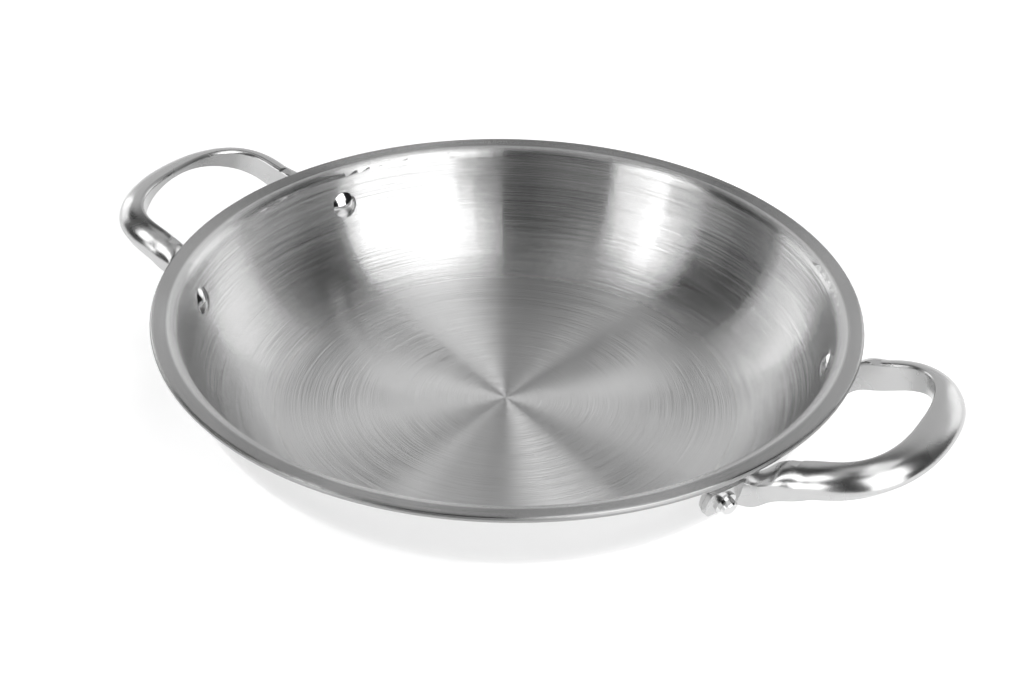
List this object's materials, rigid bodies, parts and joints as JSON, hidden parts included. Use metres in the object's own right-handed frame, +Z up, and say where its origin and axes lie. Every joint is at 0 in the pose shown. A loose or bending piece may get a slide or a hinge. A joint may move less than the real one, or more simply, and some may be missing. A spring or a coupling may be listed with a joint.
{
  "type": "frying pan",
  "caption": "Round shallow steel frying pan with a flat base, curved wall, flared lip and two riveted loop handles.",
  "frame": {"origin": "centre of the flat underside, on the surface that the pan stands on", "axes": "+Z up out of the pan's mouth, +X through the middle of one handle, -X through the other, rivets marked front lie towards -Y"},
  "size_m": [0.394, 0.3, 0.0635],
  "materials": {
    "cooking_surface": "stainless steel with concentric lathe brushing",
    "core_metal": "rolled aluminium, seen only as a line at the cut lip",
    "polished_outside": "mirror-polished stainless steel",
    "handle_metal": "cast stainless steel, mirror-polished",
    "rivet_metal": "solid stainless steel rivets, polished"
  },
  "bodies": {
    "root": {"inner_skin": "cooking_surface", "aluminium_core": "core_metal", "outer_skin": "polished_outside", "handle_right": "handle_metal", "handle_left": "handle_metal", "rivet_right_front": "rivet_metal", "rivet_right_rear": "rivet_metal", "rivet_left_front": "rivet_metal", "rivet_left_rear": "rivet_metal"}
  },
  "joints": []
}
